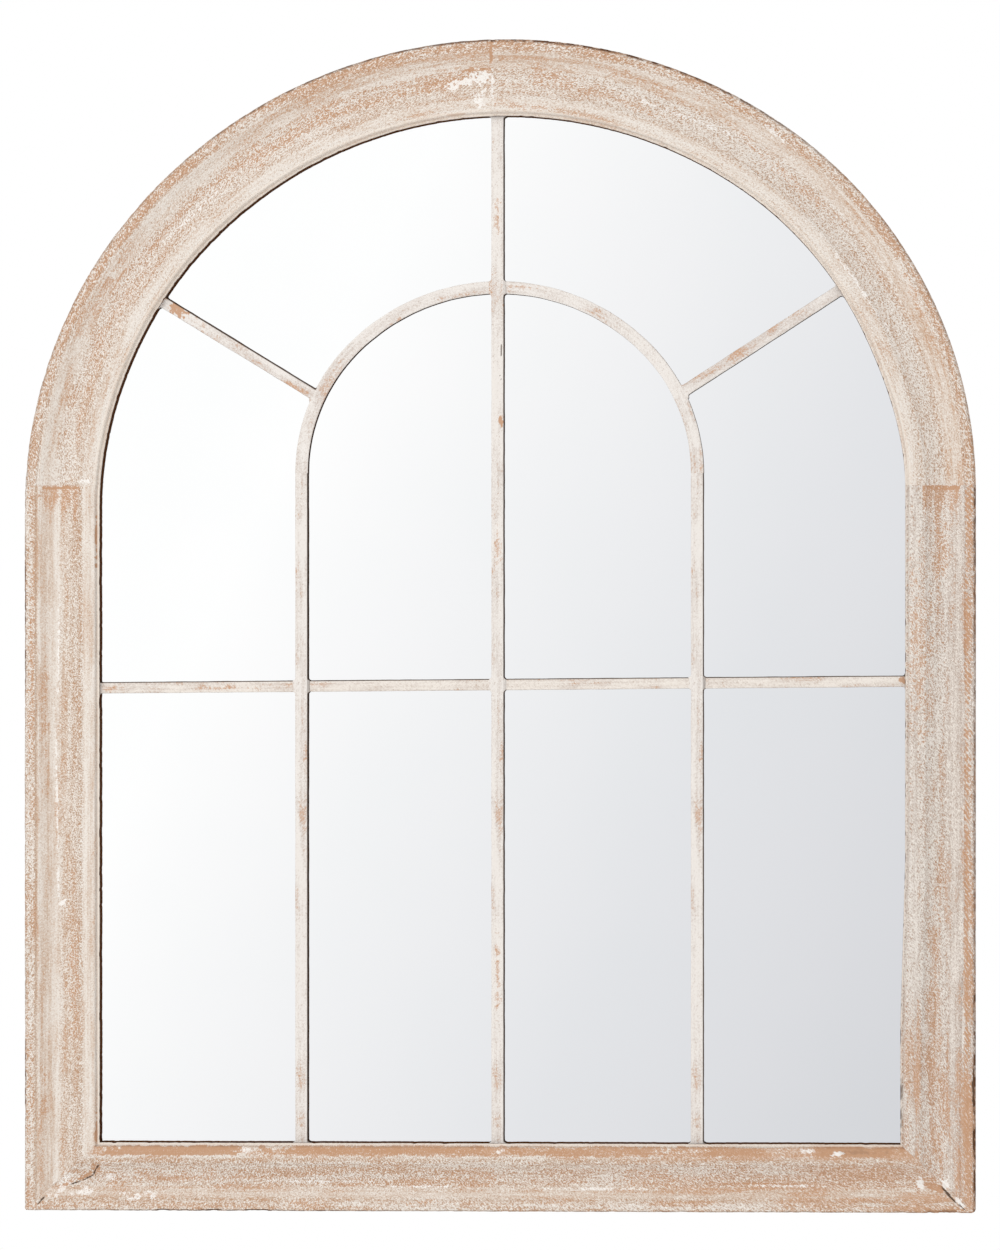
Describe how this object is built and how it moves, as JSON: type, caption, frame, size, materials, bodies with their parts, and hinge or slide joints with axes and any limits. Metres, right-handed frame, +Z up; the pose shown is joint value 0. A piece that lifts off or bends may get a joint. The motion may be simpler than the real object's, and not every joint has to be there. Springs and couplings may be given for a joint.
{
  "type": "arched window mirror",
  "caption": "Round-topped wall mirror in a moulded, limewashed wooden frame with window glazing bars, turn buttons and swinging D-ring hangers at the back.",
  "frame": {"origin": "middle of the frame's underside, half-way through the frame's depth", "axes": "+Z up along the height, +X to the right as seen from the front, the mirror faces -Y and its back faces +Y"},
  "size_m": [0.8, 0.0363, 0.985],
  "materials": {
    "frame_wood": "worn limewash over tan wood, matt",
    "bar_paint": "cream chalk paint, matt",
    "dowel_wood": "bare hardwood",
    "silvered_glass": "polished silvered glass",
    "board_wood": "raw pressed board",
    "plated_steel": "zinc plated, satin",
    "pad_rubber": "black, matt"
  },
  "bodies": {
    "frame": {"stile_left": "frame_wood", "stile_right": "frame_wood", "arch_left": "frame_wood", "arch_right": "frame_wood", "bottom_rail": "frame_wood", "dowel_crown_outer": "dowel_wood", "dowel_crown_inner": "dowel_wood", "dowel_springing_left_outer": "dowel_wood", "dowel_springing_left_inner": "dowel_wood", "dowel_springing_right_outer": "dowel_wood", "dowel_springing_right_inner": "dowel_wood", "dowel_mitre_left_outer": "dowel_wood", "dowel_mitre_left_inner": "dowel_wood", "dowel_mitre_right_outer": "dowel_wood", "dowel_mitre_right_inner": "dowel_wood", "mirror_glass": "silvered_glass", "backing_board": "board_wood", "bar_centre": "bar_paint", "bar_cross": "bar_paint", "bar_leg_left": "bar_paint", "bar_leg_right": "bar_paint", "bar_inner_arch": "bar_paint", "bar_diagonal_left": "bar_paint", "bar_diagonal_right": "bar_paint", "turn_button_screw_rail_left": "plated_steel", "turn_button_screw_rail_right": "plated_steel", "turn_button_screw_stile_left": "plated_steel", "turn_button_screw_stile_right": "plated_steel", "turn_button_screw_arch_left": "plated_steel", "turn_button_screw_arch_right": "plated_steel", "hanger_strap_left": "plated_steel", "hanger_strap_right": "plated_steel", "hanger_screw_left_outer": "plated_steel", "hanger_screw_left_inner": "plated_steel", "hanger_screw_right_outer": "plated_steel", "hanger_screw_right_inner": "plated_steel", "wall_pad_left": "pad_rubber", "wall_pad_right": "pad_rubber"},
    "ring_left": {"hanger_ring_left": "plated_steel"},
    "ring_right": {"hanger_ring_right": "plated_steel"},
    "button_rail_left": {"turn_button_rail_left": "plated_steel"},
    "button_rail_right": {"turn_button_rail_right": "plated_steel"},
    "button_stile_left": {"turn_button_stile_left": "plated_steel"},
    "button_stile_right": {"turn_button_stile_right": "plated_steel"},
    "button_arch_left": {"turn_button_arch_left": "plated_steel"},
    "button_arch_right": {"turn_button_arch_right": "plated_steel"}
  },
  "joints": [
    {"name": "ring_swing_left", "type": "hinge", "parent": "frame", "child": "ring_left", "pos_m": [-0.34109, 0.0183, 0.69], "axis": [0, 0, 1], "range_deg": [0, 170]},
    {"name": "ring_swing_right", "type": "hinge", "parent": "frame", "child": "ring_right", "pos_m": [0.34439, 0.0183, 0.69], "axis": [0, 0, -1], "range_deg": [0, 170]},
    {"name": "button_turn_rail_left", "type": "hinge", "parent": "frame", "child": "button_rail_left", "pos_m": [-0.18, 0.01605, 0.0401], "axis": [0, 1, 0], "continuous": true},
    {"name": "button_turn_rail_right", "type": "hinge", "parent": "frame", "child": "button_rail_right", "pos_m": [0.18, 0.01605, 0.0401], "axis": [0, 1, 0], "continuous": true},
    {"name": "button_turn_stile_left", "type": "hinge", "parent": "frame", "child": "button_stile_left", "pos_m": [-0.3548, 0.01605, 0.3], "axis": [0, 1, 0], "continuous": true},
    {"name": "button_turn_stile_right", "type": "hinge", "parent": "frame", "child": "button_stile_right", "pos_m": [0.3578, 0.01605, 0.3], "axis": [0, 1, 0], "continuous": true},
    {"name": "button_turn_arch_left", "type": "hinge", "parent": "frame", "child": "button_arch_left", "pos_m": [-0.28124, 0.01605, 0.79874], "axis": [0, 1, 0], "continuous": true},
    {"name": "button_turn_arch_right", "type": "hinge", "parent": "frame", "child": "button_arch_right", "pos_m": [0.28372, 0.01605, 0.80625], "axis": [0, 1, 0], "continuous": true}
  ]
}
